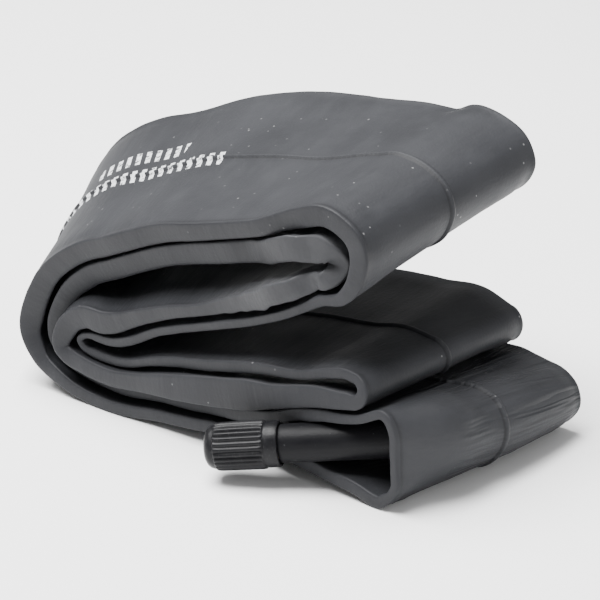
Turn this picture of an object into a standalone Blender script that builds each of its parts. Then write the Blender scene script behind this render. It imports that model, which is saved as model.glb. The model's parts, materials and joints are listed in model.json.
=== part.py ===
"""Folded inner tube for a 12 inch wheel, with its valve, valve core and dust cap.

The tube is a torus that is let down, pressed flat and folded into eight runs. X is along the runs,
towards the folds over the valve. Y is across the band, away from the valve's tip. Z is up, and the
lowest run lies on z = 0. The origin is under the middle of the bundle.
"""
import bpy
import math
from mathutils import Vector

MM = 0.001

# Driving sizes of the tube
BAND_WIDTH = 56 * MM          # flat width of the empty tube
FOLD_LENGTH = 92 * MM         # near edge, from the left curl to the upper right fold
FOLD_HEIGHT = 58.9 * MM       # near edge, height of the top run over its right end
BAND_THICKNESS = 2.8 * MM     # two rubber walls with a little air between them
WALL = 0.9 * MM
LAYER_GAP = 0.35 * MM         # clear air between layers that lie on each other
FAR_FLARE = 1.35              # the far edges of the runs reach this much further left

# Driving sizes of the valve and its cap
STEM_RADIUS = 4.0 * MM
STEM_LENGTH = 34.2 * MM       # from the tube's wall to the end of the rubber
ROOT_FLARE = 1.4 * MM         # how much wider the stem is at its root
FLARE_LENGTH = 19 * MM
VALVE_BULGE = STEM_RADIUS      # how far the valve pushes out the middle of its fold
THREAD_RADIUS = 3.85 * MM     # outside of the valve's cap thread
THREAD_LENGTH = 11.6 * MM
CAP_LENGTH = 15.3 * MM
CAP_CLEARANCE = 0.12 * MM
CAP_WALL = 0.98 * MM
CAP_RADIUS = THREAD_RADIUS + CAP_CLEARANCE + CAP_WALL
FIT_GAP = 0.3 * MM            # between pieces that touch
CORE_GAP = 0.15 * MM          # between the small pieces of the valve core
VALVE_INSET = 14.28 * MM      # from the near edge to the valve's seat
VALVE_PLACE = VALVE_INSET / (BAND_WIDTH / 2) - 1   # across: -1 is the near edge, 1 the far edge
VALVE_HEIGHT = 13.2 * MM
VALVE_DIRECTION = Vector((-0.85, -0.50, -0.13)).normalized()

# Mesh fineness
RING_SPACING = 9 * MM
VALVE_FOLD_SPACING = 2.5 * MM  # finer rings where the valve's foot lies on the rubber
SECTION_POINTS = 16
ROUND_STEPS = 24

LAYER_PITCH = BAND_THICKNESS + LAYER_GAP
SLOPED_PITCH = 1.05           # a sloping layer takes this much more height
X_SCALE = FOLD_LENGTH / (92 * MM)
Z_SCALE = FOLD_HEIGHT / (58.9 * MM)


def start_empty():
    """Remove the objects of the opening scene."""
    for found in list(bpy.data.objects):
        bpy.data.objects.remove(found, do_unlink=True)


def new_collection(name):
    made = bpy.data.collections.new(name)
    bpy.context.scene.collection.children.link(made)
    return made


def put_in(collection, thing):
    for holder in list(thing.users_collection):
        holder.objects.unlink(thing)
    collection.objects.link(thing)
    return thing


def material(name, colour, roughness, metallic=0.0):
    made = bpy.data.materials.new(name)
    made.use_nodes = True
    shader = made.node_tree.nodes["Principled BSDF"]
    shader.inputs["Base Color"].default_value = (*colour, 1.0)
    shader.inputs["Roughness"].default_value = roughness
    shader.inputs["Metallic"].default_value = metallic
    return made


# ---------------------------------------------------------------------------
# The fold: every run and fold of the ring, seen from the near side
# ---------------------------------------------------------------------------
# Heights in mm of each run's middle, near and far edge, over five places from left to right. They
# are wished heights: a run that would press into the one under it is lifted by LAYER_PITCH.
RUN_PLACES = (-30, -15, 0, 12, 23)
RUNS = (
    ("A_low", (1.4, 2.9, 4.3, 4.4, 4.2), (1.4, 1.4, 1.4, 1.4, 1.4)),
    ("B_low", (4.6, 6.2, 7.8, 10.0, 14.2), (4.6, 5.2, 6.5, 9.0, 11.6)),
    ("C_low", (7.8, 9.4, 11.6, 14.4, 17.4), (8.5, 9.5, 11.5, 13.6, 15.8)),
    ("D_low", (11.0, 15.2, 18.6, 21.3, 22.8), (13.0, 17.0, 20.4, 23.0, 24.4)),
    ("D_up", (16.0, 22.4, 27.7, 32.0, 37.6), (21.5, 30.5, 37.8, 42.6, 46.4)),
    ("C_up", (21.5, 27.0, 31.5, 36.0, 41.0), (27.0, 36.0, 42.4, 46.3, 49.8)),
    ("B_top", (32.2, 38.9, 43.4, 46.8, 50.2), (40.0, 48.4, 53.0, 55.5, 57.2)),
    ("A_top", (38.2, 44.6, 48.6, 52.2, 57.2), (46.6, 55.0, 59.8, 61.6, 64.0)),
)
# Each fold: the place (x, z) of its tip in mm, near and far, how far its outside is pushed out in
# the middle of the band, and how straight its upper and lower halves run (1 is an ellipse).
FOLDS = {
    "left_A": ((-54.0, 12.3), (-86.0, 19.0), 0.0, 1.6, 1.0),
    "left_B": ((-47.6, 11.0), (-79.0, 17.0), 0.0, 1.5, 1.0),
    "left_C": ((-43.0, 11.5), (-72.0, 16.0), 0.0, 1.0, 1.0),
    "left_D": ((-35.8, 13.5), (-62.0, 16.0), 0.0, 0.75, 0.75),
    "right_1": ((38.3, 51.5), (38.2, 57.0), 0.0, 1.0, 1.0),
    "right_inner": ((31.4, 47.8), (31.4, 55.0), 0.0, 1.0, 1.0),
    "right_2": ((38.6, 23.4), (36.2, 20.2), 0.6, 1.0, 1.0),
    "right_3": ((47.0, 14.6), (51.6, 7.6), VALVE_BULGE / MM, 1.0, 1.0),
}
# The order in which the ring passes its runs (with the way it runs) and the fold after each run.
RING_ORDER = (
    ("A_top", -1, "left_A"), ("A_low", 1, "right_3"), ("B_low", -1, "left_B"),
    ("B_top", 1, "right_inner"), ("C_up", -1, "left_C"), ("C_low", 1, "right_2"),
    ("D_low", -1, "left_D"), ("D_up", 1, "right_1"),
)
# More places on single runs, past the common ones: (x, near height, far height)
EXTRA_PLACES = {
    "A_top": ((28, 58.9, 65.0),),
    "D_up": ((28, 40.6, 48.8),),
    "C_up": ((27, 43.6, 52.0),),
    "B_top": ((27.5, 51.2, 57.8),),
    "D_low": ((30, 25.2, 25.0), (35, 26.0, 22.8)),
    "C_low": ((30, 19.6, 16.6), (35, 20.6, 17.8)),
    "A_low": ((37, 2.6, 1.4), (44, 1.6, 1.4)),
    "B_low": ((28, 15.7, 12.6), (38, 17.9, 13.4), (44, 20.6, 12.8)),
}
FOLD_ANGLES = (60, 30, 0, -30, -60)
RIGHT_TIP = 38.0              # x in mm where near and far edges lie over each other
STEM_SIDE = 5                 # x in mm past which the valve lies beside the lowest two runs
VALVE_SHARES = (0.0, 0.05, 0.1, 0.15, 0.2, 0.25, 0.3)   # shares of the width that are kept clear of the valve
VALVE_ROOM = FIT_GAP
CLEAR_STEP = 0.1              # mm


def far_x(x):
    """Place on the far edge that lies across from x on the near edge."""
    return RIGHT_TIP - (RIGHT_TIP - x) * FAR_FLARE if x < RIGHT_TIP else x


def height_at(points, x):
    """Height of a run's (x, z) points at x, straight between the points."""
    if x <= points[0][0]:
        return points[0][1]
    for (x0, z0), (x1, z1) in zip(points, points[1:]):
        if x <= x1:
            return z0 + (z1 - z0) * (x - x0) / (x1 - x0)
    return points[-1][1]


def valve_seat():
    """Point on the hub side of the right fold where the valve's axis starts."""
    near, far, bulge = FOLDS["right_3"][:3]
    across = (VALVE_PLACE + 1) / 2
    tip = near[0] + (far[0] - near[0]) * across
    crown = bulge * 4 * across * (1 - across)
    x = tip * X_SCALE * MM + crown * MM - BAND_THICKNESS / 2
    return Vector((x, VALVE_PLACE * BAND_WIDTH / 2, VALVE_HEIGHT * Z_SCALE))


def valve_radius_at(along):
    """Outer radius of the stem with its flared root, or of the cap, at a distance from the seat."""
    if along > STEM_LENGTH:
        return CAP_RADIUS
    return STEM_RADIUS + ROOT_FLARE * max(0.0, 1 - along / FLARE_LENGTH) ** 2


def clear_of_valve(x_mm, near_z, far_z, side):
    """Near height in mm at x, raised (side 1) or lowered (-1) until the band is clear of the valve."""
    seat = valve_seat()
    roll = BAND_THICKNESS / 2
    crowded = True
    while crowded:
        crowded = False
        for share in VALVE_SHARES:
            y = max(share * BAND_WIDTH, roll) - BAND_WIDTH / 2
            z = (near_z + (far_z - near_z) * share) * MM
            reach = Vector((x_mm * MM * X_SCALE, y, z)) - seat
            along = reach.dot(VALVE_DIRECTION)
            aside = (reach - VALVE_DIRECTION * along).length
            beside = 0 < along < STEM_LENGTH + CAP_LENGTH
            if beside and aside < valve_radius_at(along) + roll + VALVE_ROOM:
                crowded = True
        if crowded:
            near_z += side * CLEAR_STEP
    return near_z


def far_heights(name, x):
    """Wished far height of a run at x, in mm."""
    far = next(run[2] for run in RUNS if run[0] == name)
    places = list(zip(RUN_PLACES, far)) + [(place[0], place[2]) for place in EXTRA_PLACES.get(name, ())]
    return height_at(places, x) * Z_SCALE


def stacked_runs():
    """Heights of every run, near and far, each kept clear of the one under it and of the stem."""
    pitch = LAYER_PITCH / MM
    stacks = ({}, {})
    for edge in (0, 1):
        below = None
        for name, near, far in RUNS:
            places = list(zip(RUN_PLACES, (near, far)[edge]))
            places += [(extra[0], extra[1 + edge]) for extra in EXTRA_PLACES.get(name, ())]
            points = []
            for x, wish in places:
                z = wish * Z_SCALE
                if below is None:
                    z = max(z, BAND_THICKNESS / 2 / MM)
                else:
                    z = max(z, height_at(below, x) + pitch * SLOPED_PITCH)
                if edge == 0 and x > STEM_SIDE and name in ("A_low", "B_low"):
                    side = 1 if name == "B_low" else -1
                    z = clear_of_valve(x, z, far_heights(name, x), side)
                points.append((x, z))
            stacks[edge][name] = points
            below = points
    return stacks


def fold_points(start, end, tip, powers):
    """Points round a fold from the run's end at start to the run's end at end, past the tip."""
    upper, lower = (start, end) if start[1] > end[1] else (end, start)
    points = []
    for angle in FOLD_ANGLES:
        turn = math.radians(abs(angle))
        run = upper if angle >= 0 else lower
        power = powers[0] if angle >= 0 else powers[1]
        x = run[0] + (tip[0] - run[0]) * math.cos(turn) ** power
        z = tip[1] + (run[1] - tip[1]) * math.sin(turn)
        points.append((x, z))
    return points if start is upper else points[::-1]


def ring_controls():
    """Control points of the whole ring: near x and z, far x and z, and the crown, in metres."""
    stacks = stacked_runs()
    controls = []
    names = [name for name, way, fold in RING_ORDER]
    for index, (name, way, fold) in enumerate(RING_ORDER):
        near = stacks[0][name][::way]
        far = [(far_x(x), z) for x, z in stacks[1][name]][::way]
        for (xn, zn), (xf, zf) in zip(near, far):
            controls.append([xn, zn, xf, zf, 0.0])
        following = names[(index + 1) % len(names)]
        tip_near, tip_far, bulge = FOLDS[fold][:3]
        ends = []
        for edge, tip in ((0, tip_near), (1, tip_far)):
            points = stacks[edge][name]
            beyond = stacks[edge][following]
            last = points[-1] if way == 1 else points[0]
            first = beyond[-1] if way == 1 else beyond[0]
            if edge == 1:
                last = (far_x(last[0]), last[1])
                first = (far_x(first[0]), first[1])
            ends.append(fold_points(last, first, (tip[0], tip[1] * Z_SCALE), FOLDS[fold][3:]))
        for angle, (xn, zn), (xf, zf) in zip(FOLD_ANGLES, *ends):
            crown = bulge * math.cos(math.radians(angle)) ** 2
            controls.append([xn, zn, xf, zf, crown])
    for control in controls:
        for item, factor in enumerate((X_SCALE, 1.0, X_SCALE, 1.0, 1.0)):
            control[item] *= factor * MM
    return controls


class FoldedBand:
    """The surface in the middle of the flat band: place round the ring, and across from -1 to 1."""

    def __init__(self):
        self.controls = ring_controls()
        self.count = len(self.controls)
        self.knots = [0.0]
        for index in range(self.count):
            here = self.controls[index]
            there = self.controls[(index + 1) % self.count]
            near = math.hypot(there[0] - here[0], there[1] - here[1])
            far = math.hypot(there[2] - here[2], there[3] - here[3])
            self.knots.append(self.knots[-1] + (near + far) / 2)

    def edges(self, place):
        """Near x, near z, far x, far z and crown at a place, on a spline through the controls."""
        place = place % self.count
        index = int(place)
        part = place - index
        points = [self.controls[(index + step) % self.count] for step in (-1, 0, 1, 2)]
        before = self.span(index - 1)
        here = self.span(index)
        after = self.span(index + 1)
        result = []
        for p0, p1, p2, p3 in zip(*points):
            chord = (p2 - p1) / here
            start = ((p1 - p0) / before * here + chord * before) / (before + here) * here
            finish = (chord * after + (p3 - p2) / after * here) / (here + after) * here
            a = 2 * p1 - 2 * p2 + start + finish
            b = -3 * p1 + 3 * p2 - 2 * start - finish
            result.append(((a * part + b) * part + start) * part + p1)
        return result

    def span(self, index):
        index = index % self.count
        return self.knots[index + 1] - self.knots[index]

    def middle(self, place, across):
        """Point of the band's middle surface, without the crown's push."""
        near_x, near_z, far_end, far_z, crown = self.edges(place)
        share = (across + 1) / 2
        x = near_x + (far_end - near_x) * share
        z = near_z + (far_z - near_z) * share
        return Vector((x, across * BAND_WIDTH / 2, z)), crown * 4 * share * (1 - share)

    def outward(self, place, across):
        """Unit normal on the outer side of the ring."""
        step = 0.02
        ahead = self.middle(place + step, across)[0]
        behind = self.middle(place - step, across)[0]
        far = self.middle(place, across + step)[0]
        near = self.middle(place, across - step)[0]
        return (far - near).cross(ahead - behind).normalized()

    def point(self, place, across, offset=0.0):
        """Point at an offset from the middle surface, positive towards the ring's outer side."""
        middle, crown = self.middle(place, across)
        return middle + self.outward(place, across) * (offset + crown)

    def ring_places(self, spacing, fine_spacing):
        """Places round the ring, about spacing apart, with one on every control point."""
        places = []
        fine = self.place_of_fold("right_3")
        reach = len(FOLD_ANGLES) // 2 + 1
        for index in range(self.count):
            beside_valve = fine - reach <= index < fine + reach
            steps = max(1, round(self.span(index) / (fine_spacing if beside_valve else spacing)))
            places += [index + step / steps for step in range(steps)]
        return places

    def place_of_fold(self, fold):
        """Place of a fold's tip."""
        place = 0
        for name, way, here in RING_ORDER:
            place += len(RUN_PLACES) + len(EXTRA_PLACES.get(name, ()))
            if here == fold:
                return place + FOLD_ANGLES.index(0)
            place += len(FOLD_ANGLES)
        return None


def section_point(angle, thickness):
    """Place across (-1 to 1) and offset of a point on the flat section with its round edges."""
    radius = thickness / 2
    half = BAND_WIDTH / 2
    side = 1 if math.cos(angle) >= 0 else -1
    tilt = math.atan2(math.sin(angle), abs(math.cos(angle)))
    flat_part = abs(tilt) / (math.pi / 4) - 1
    if flat_part > 0:
        return side * (half - radius) / half * (1 - flat_part), math.copysign(radius, tilt)
    roll = 2 * tilt
    return side * (half - radius + radius * math.cos(roll)) / half, radius * math.sin(roll)


# ---------------------------------------------------------------------------
# Modelling helpers
# ---------------------------------------------------------------------------
def finish(thing, collection, look, name):
    thing.name = name
    thing.data.name = name
    thing.data.materials.clear()
    thing.data.materials.append(look)
    thing.data.shade_smooth()
    thing.data.set_sharp_from_angle(angle=math.radians(40))
    return put_in(collection, thing)


def hide_cutter(thing, collection, name):
    thing.name = name
    thing.hide_render = True
    thing.display_type = "WIRE"
    return put_in(collection, thing)


def cut(thing, cutter, operation="DIFFERENCE"):
    added = thing.modifiers.new(cutter.name, "BOOLEAN")
    added.object = cutter
    added.operation = operation
    added.solver = "EXACT"
    return added


def on_valve_axis(thing, parent, along=0.0):
    """Turn an object so that its local +Z runs along the valve's axis."""
    thing.rotation_mode = "QUATERNION"
    thing.rotation_quaternion = VALVE_DIRECTION.to_track_quat("Z", "Y")
    thing.location = valve_seat() + VALVE_DIRECTION * along
    thing.parent = parent


def turned(outline, closed, steps=ROUND_STEPS):
    """Object turned from (radius, height) points: a solid of revolution about local Z.

    The points run down the outer side. An open outline starts and ends on the axis.
    """
    shape = bpy.data.meshes.new("outline")
    count = len(outline)
    links = [(i, i + 1) for i in range(count - 1)]
    if closed:
        links.append((count - 1, 0))
    shape.from_pydata([(r, 0.0, z) for r, z in outline], links, [])
    thing = bpy.data.objects.new("turned", shape)
    bpy.context.scene.collection.objects.link(thing)
    screw = thing.modifiers.new("Turn", "SCREW")
    screw.steps = steps
    screw.render_steps = steps
    screw.use_merge_vertices = True
    screw.merge_threshold = 0.00001
    return thing


def baked(thing):
    """Replace an object's modifiers by the mesh that they make."""
    depsgraph = bpy.context.evaluated_depsgraph_get()
    made = bpy.data.meshes.new_from_object(thing.evaluated_get(depsgraph))
    thing.modifiers.clear()
    thing.data = made
    return thing


def scaled(outline):
    return [(r * MM, z * MM) for r, z in outline]


# Sizes of the valve's foot, its patch and its bores
AIR_HOLE = 2.0 * MM           # radius of the hole in the tube's wall
PATCH_RADIUS = 7.8 * MM
PATCH_HOLE = 3.2 * MM
PATCH_GAP = 0.6 * MM          # under the patch, where the wall's facets bend
PATCH_THICKNESS = 0.8 * MM
FOOT_RADIUS = 6.8 * MM
FOOT_HEIGHT = 5.0 * MM
INSERT_FOOT = 6.5 * MM        # the brass starts this far from the wall
INSERT_RADIUS = 2.8 * MM
CORE_BORE = 1.9 * MM
TIP_BORE = 2.65 * MM
STEM_ROOT = 4.0 * MM          # how far the stem is drawn past its seat before the wall cuts it
AIR_HOLE_DEPTH = 3.0 * MM
WALL_CUTTER_RADIUS = PATCH_RADIUS + 3 * MM
WALL_CUTTER_DEPTH = 12 * MM


# ---------------------------------------------------------------------------
# The rubber body
# ---------------------------------------------------------------------------
def make_tube_body(band, parts, cutters, root, look):
    places = band.ring_places(RING_SPACING, VALVE_FOLD_SPACING)
    bpy.ops.mesh.primitive_torus_add(
        major_segments=len(places), minor_segments=SECTION_POINTS, major_radius=0.1, minor_radius=0.02)
    thing = bpy.context.active_object
    for vertex in thing.data.vertices:
        ring, spot = divmod(vertex.index, SECTION_POINTS)
        across, offset = section_point(spot * math.tau / SECTION_POINTS, BAND_THICKNESS)
        spot_on_band = band.point(places[ring], across, offset)
        if spot_on_band.z < LAYER_GAP / 2:
            spot_on_band.z = 0.0
        vertex.co = spot_on_band
    shell = thing.modifiers.new("Walls", "SOLIDIFY")
    shell.thickness = WALL
    shell.offset = -1.0
    finish(thing, parts, look, "tube_body")
    thing.parent = root

    bpy.ops.mesh.primitive_cylinder_add(vertices=16, radius=AIR_HOLE, depth=2 * AIR_HOLE_DEPTH)
    hole = bpy.context.active_object
    on_valve_axis(hole, root, AIR_HOLE_DEPTH - BAND_THICKNESS / 2)
    hide_cutter(hole, cutters, "cut_air_hole")
    cut(thing, hole)
    return thing


def patch_of_band(band, radius, offset, thickness, squares):
    """Round patch that follows the band round the valve's seat, thickened towards the hub side."""
    bpy.ops.mesh.primitive_grid_add(x_subdivisions=squares, y_subdivisions=squares, size=2.0)
    thing = bpy.context.active_object
    tip = band.place_of_fold("right_3")
    step = 0.1
    stretch = (band.point(tip + step, VALVE_PLACE) - band.point(tip - step, VALVE_PLACE)).length
    per_metre = 2 * step / stretch
    for vertex in thing.data.vertices:
        x, y = vertex.co.x, vertex.co.y
        round_x = x * math.sqrt(1 - y * y / 2)
        round_y = y * math.sqrt(1 - x * x / 2)
        place = tip + round_x * radius * per_metre
        across = VALVE_PLACE + round_y * radius / (BAND_WIDTH / 2)
        vertex.co = band.point(place, across, -offset)
    shell = thing.modifiers.new("Thickness", "SOLIDIFY")
    shell.thickness = thickness
    shell.offset = 1.0
    return thing


# ---------------------------------------------------------------------------
# The valve
# ---------------------------------------------------------------------------


def make_valve_patch(band, parts, cutters, root, look):
    thing = patch_of_band(band, PATCH_RADIUS, BAND_THICKNESS / 2 + PATCH_GAP, PATCH_THICKNESS, 8)
    finish(thing, parts, look, "valve_patch")
    thing.parent = root
    bpy.ops.mesh.primitive_cylinder_add(vertices=16, radius=PATCH_HOLE, depth=4 * FOOT_HEIGHT)
    hole = bpy.context.active_object
    on_valve_axis(hole, root)
    hide_cutter(hole, cutters, "cut_patch_hole")
    cut(thing, hole)
    return thing


def make_valve_cover(band, parts, cutters, root, look):
    """Rubber stem with a domed foot. The foot is cut to the wall that it stands on."""
    length = STEM_LENGTH
    outline = [
        (0.0, length), (STEM_RADIUS - 0.3 * MM, length), (STEM_RADIUS, length - 0.3 * MM),
        (STEM_RADIUS, length * 0.55), (STEM_RADIUS + ROOT_FLARE * 0.18, length * 0.3),
        (STEM_RADIUS + ROOT_FLARE / 2, length * 0.16), (STEM_RADIUS + ROOT_FLARE, length * 0.08),
        (STEM_RADIUS + ROOT_FLARE, -STEM_ROOT), (0.0, -STEM_ROOT)]
    thing = turned(outline, closed=False)
    on_valve_axis(thing, root)
    finish(thing, parts, look, "valve_cover")

    bpy.ops.mesh.primitive_uv_sphere_add(segments=ROUND_STEPS, ring_count=10, radius=1.0)
    dome = bpy.context.active_object
    dome.scale = (FOOT_RADIUS, FOOT_RADIUS, FOOT_HEIGHT)
    inward = -band.outward(band.place_of_fold("right_3"), VALVE_PLACE)
    dome.rotation_mode = "QUATERNION"
    dome.rotation_quaternion = inward.to_track_quat("Z", "Y")
    dome.location = valve_seat()
    dome.parent = root
    hide_cutter(dome, cutters, "join_foot")
    cut(thing, dome, "UNION")

    wall_offset = BAND_THICKNESS / 2 + PATCH_GAP + PATCH_THICKNESS + FIT_GAP
    wall = patch_of_band(band, WALL_CUTTER_RADIUS, wall_offset, -WALL_CUTTER_DEPTH, 10)
    wall.parent = root
    hide_cutter(wall, cutters, "cut_wall")
    cut(thing, wall)

    bore_radius = INSERT_RADIUS + CORE_GAP
    bpy.ops.mesh.primitive_cylinder_add(
        vertices=ROUND_STEPS, radius=bore_radius, depth=length + 20 * MM)
    bore = bpy.context.active_object
    on_valve_axis(bore, root, length / 2)
    hide_cutter(bore, cutters, "cut_insert_bore")
    cut(thing, bore)
    return thing


def make_valve_insert(parts, root, look):
    """Brass tube with the threaded tip, the core's bore and the cone seat in it."""
    shoulder = STEM_LENGTH + FIT_GAP
    tip = shoulder + THREAD_LENGTH
    outline = [
        (TIP_BORE, tip), (THREAD_RADIUS - 0.3 * MM, tip), (THREAD_RADIUS, tip - 0.4 * MM),
        (THREAD_RADIUS, shoulder), (INSERT_RADIUS, shoulder), (INSERT_RADIUS, INSERT_FOOT),
        (CORE_BORE, INSERT_FOOT), (CORE_BORE, tip - 10.5 * MM), (TIP_BORE, tip - 8.0 * MM)]
    thing = turned(outline, closed=True)
    on_valve_axis(thing, root)
    return finish(thing, parts, look, "valve_insert")


# The valve core's pieces, as (radius, height) in mm under the valve's tip
CORE_PLUG = ((0.95, -1.3), (1.8, -1.3), (1.8, -3.1), (2.45, -3.3), (2.45, -5.9), (0.95, -5.9))
CORE_BARREL = ((1.15, -6.1), (2.3, -6.1), (2.3, -6.9), (1.55, -6.9), (1.55, -16.4), (0.62, -16.4),
               (0.62, -15.4), (1.15, -15.4))
CORE_GASKET = ((1.72, -7.05), (2.3, -7.05), (2.3, -8.1), (1.9, -9.5), (1.72, -9.5))
CORE_SEAL = ((0.62, -16.6), (1.6, -16.6), (1.6, -17.4), (0.62, -17.4))
CORE_CUP = ((0.62, -17.6), (1.7, -17.6), (1.7, -18.3), (0.62, -18.3))
CORE_PIN = ((0.0, -0.4), (0.6, -0.4), (0.75, -0.55), (0.75, -1.0), (0.42, -1.1), (0.42, -6.6),
            (0.95, -6.6), (0.95, -7.1), (0.42, -7.1), (0.42, -18.5), (0.8, -18.5), (0.8, -19.1),
            (0.0, -19.1))
SPRING_TOP = -7.35
SPRING_FOOT = -15.15
SPRING_RADIUS = 0.78
SPRING_WIRE = 0.12
SPRING_TURNS = 6


def make_core(parts, root, brass, steel, rubber):
    tip = STEM_LENGTH + FIT_GAP + THREAD_LENGTH
    turned_pieces = (
        ("core_plug", CORE_PLUG, True, brass), ("core_barrel", CORE_BARREL, True, brass),
        ("core_gasket", CORE_GASKET, True, rubber), ("core_seal", CORE_SEAL, True, rubber),
        ("core_cup", CORE_CUP, True, brass), ("core_pin", CORE_PIN, False, steel))
    for name, outline, closed, look in turned_pieces:
        thing = turned(scaled(outline), closed, steps=16)
        on_valve_axis(thing, root, tip)
        finish(thing, parts, look, name)

    curve = bpy.data.curves.new("core_spring", "CURVE")
    curve.dimensions = "3D"
    curve.bevel_depth = SPRING_WIRE * MM
    curve.bevel_resolution = 1
    curve.use_fill_caps = True
    coil = curve.splines.new("POLY")
    steps = SPRING_TURNS * 8
    coil.points.add(steps)
    for index in range(steps + 1):
        angle = index * math.tau / 8
        height = SPRING_TOP + (SPRING_FOOT - SPRING_TOP) * index / steps
        spot = (SPRING_RADIUS * MM * math.cos(angle), SPRING_RADIUS * MM * math.sin(angle), height * MM)
        coil.points[index].co = (*spot, 1.0)
    thing = bpy.data.objects.new("core_spring", curve)
    on_valve_axis(thing, root, tip)
    curve.materials.append(steel)
    parts.objects.link(thing)


# ---------------------------------------------------------------------------
# The dust cap
# ---------------------------------------------------------------------------
CAP_RIBS = 24
RIB_DEPTH = 0.28 * MM
CAP_DOME = 2.0 * MM
CAP_COLLAR = 2.2 * MM
CAP_SEAL = 0.8 * MM


def make_cap(parts, root, plastic, rubber):
    bore = THREAD_RADIUS + CAP_CLEARANCE
    collar_radius = CAP_RADIUS - 0.25 * MM
    rim = FIT_GAP
    valve_tip = FIT_GAP + THREAD_LENGTH
    seal_top = valve_tip + FIT_GAP + CAP_SEAL
    roof = max(seal_top + CORE_GAP, CAP_LENGTH - 1.9 * MM)
    top = max(CAP_LENGTH, roof + 1.4 * MM)
    outline = [
        (0.0, top), (CAP_RADIUS * 0.45, top - 0.2 * MM), (CAP_RADIUS * 0.78, top - 0.8 * MM),
        (CAP_RADIUS * 0.95, top - CAP_DOME), (CAP_RADIUS, top - CAP_DOME - 0.3 * MM),
        (CAP_RADIUS, rim + CAP_COLLAR + 0.5 * MM), (collar_radius, rim + CAP_COLLAR),
        (collar_radius, rim + 0.4 * MM), (collar_radius - 0.3 * MM, rim),
        (bore, rim), (bore, roof), (0.0, roof)]
    cap = turned(outline, closed=False, steps=2 * CAP_RIBS)
    baked(cap)
    for vertex in cap.data.vertices:
        flat = math.hypot(vertex.co.x, vertex.co.y)
        column = round(math.atan2(vertex.co.y, vertex.co.x) / math.tau * 2 * CAP_RIBS)
        on_body = flat > CAP_RADIUS * 0.999 and vertex.co.z > rim + CAP_COLLAR
        if on_body and column % 2:
            vertex.co.x *= 1 - RIB_DEPTH / flat
            vertex.co.y *= 1 - RIB_DEPTH / flat
    on_valve_axis(cap, root, STEM_LENGTH)
    finish(cap, parts, plastic, "dust_cap")

    foot = valve_tip + FIT_GAP
    pin_room = 1.2 * MM
    seal = turned(
        [(pin_room, foot + CAP_SEAL), (bore - CORE_GAP, foot + CAP_SEAL), (bore - CORE_GAP, foot),
         (pin_room, foot)], closed=True)
    on_valve_axis(seal, root, STEM_LENGTH)
    finish(seal, parts, rubber, "cap_seal")


# ---------------------------------------------------------------------------
# Assembly
# ---------------------------------------------------------------------------
def stand_on_origin(parts, root):
    """Shift the whole bundle so that the origin is under the middle of its box."""
    depsgraph = bpy.context.evaluated_depsgraph_get()
    points = []
    for thing in parts.objects:
        if thing.type == "EMPTY":
            continue
        shown = thing.evaluated_get(depsgraph)
        mesh = shown.to_mesh()
        points += [thing.matrix_world @ vertex.co for vertex in mesh.vertices]
        shown.to_mesh_clear()
    low = [min(point[axis] for point in points) for axis in range(3)]
    high = [max(point[axis] for point in points) for axis in range(3)]
    root.location = (-(low[0] + high[0]) / 2, -(low[1] + high[1]) / 2, -low[2])


def main():
    start_empty()
    parts = new_collection("inner_tube")
    cutters = new_collection("cutters")
    rubber = material("tube_rubber", (0.045, 0.047, 0.052), 0.62)
    moulded = material("moulded_rubber", (0.03, 0.03, 0.033), 0.55)
    seal_rubber = material("seal_rubber", (0.02, 0.02, 0.02), 0.6)
    brass = material("brass", (0.72, 0.55, 0.26), 0.3, 1.0)
    steel = material("spring_steel", (0.6, 0.6, 0.62), 0.3, 1.0)
    plastic = material("cap_plastic", (0.012, 0.012, 0.013), 0.4)

    band = FoldedBand()
    root = bpy.data.objects.new("bundle_frame", None)
    parts.objects.link(root)
    make_tube_body(band, parts, cutters, root, rubber)
    make_valve_patch(band, parts, cutters, root, moulded)
    make_valve_cover(band, parts, cutters, root, moulded)
    make_valve_insert(parts, root, brass)
    make_core(parts, root, brass, steel, seal_rubber)
    make_cap(parts, root, plastic, seal_rubber)
    stand_on_origin(parts, root)


main()
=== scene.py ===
# %% [markdown]
# # A folded inner tube
# The object is a small inner tube as it comes out of its box: let down, pressed flat and folded, with
# its valve and dust cap showing at the near side. The fixed frame holds the solids that physics uses.
# This script builds the fine surface round them: the rubber with its rolled edges, seam and ribs,
# the moulded stem, the threaded tip and the ribbed cap, and it gives every piece a node material.

# %% Load the fixed frame
import json
import math
import bpy
import numpy as np
from mathutils import Matrix, Vector, noise


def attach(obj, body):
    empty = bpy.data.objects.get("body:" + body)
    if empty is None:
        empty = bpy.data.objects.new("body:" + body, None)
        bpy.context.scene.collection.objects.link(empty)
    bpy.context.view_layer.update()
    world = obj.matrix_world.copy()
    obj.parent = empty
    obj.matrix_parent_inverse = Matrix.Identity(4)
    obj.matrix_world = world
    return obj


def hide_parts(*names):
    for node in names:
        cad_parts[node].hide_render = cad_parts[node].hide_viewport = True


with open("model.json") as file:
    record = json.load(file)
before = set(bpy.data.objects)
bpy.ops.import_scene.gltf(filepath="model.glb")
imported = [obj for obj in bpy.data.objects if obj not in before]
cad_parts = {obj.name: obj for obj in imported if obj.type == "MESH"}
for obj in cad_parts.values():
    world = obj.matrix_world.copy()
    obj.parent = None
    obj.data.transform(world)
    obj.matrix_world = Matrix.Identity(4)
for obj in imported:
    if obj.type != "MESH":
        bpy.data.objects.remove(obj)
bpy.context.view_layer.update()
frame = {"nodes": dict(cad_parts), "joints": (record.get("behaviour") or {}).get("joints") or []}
MM = 0.001
nodes = frame["nodes"]
joints = {joint["name"]: joint for joint in frame["joints"]}

# %% [markdown]
# ## Where the valve is
# The cap unscrews along the valve, so its joint says where the valve's seat is and which way it
# points. Everything on the valve is modelled upright on the origin, where round things are easy, and
# then carried over by one matrix. The same seat also tells how far the bundle was shifted.

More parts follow.
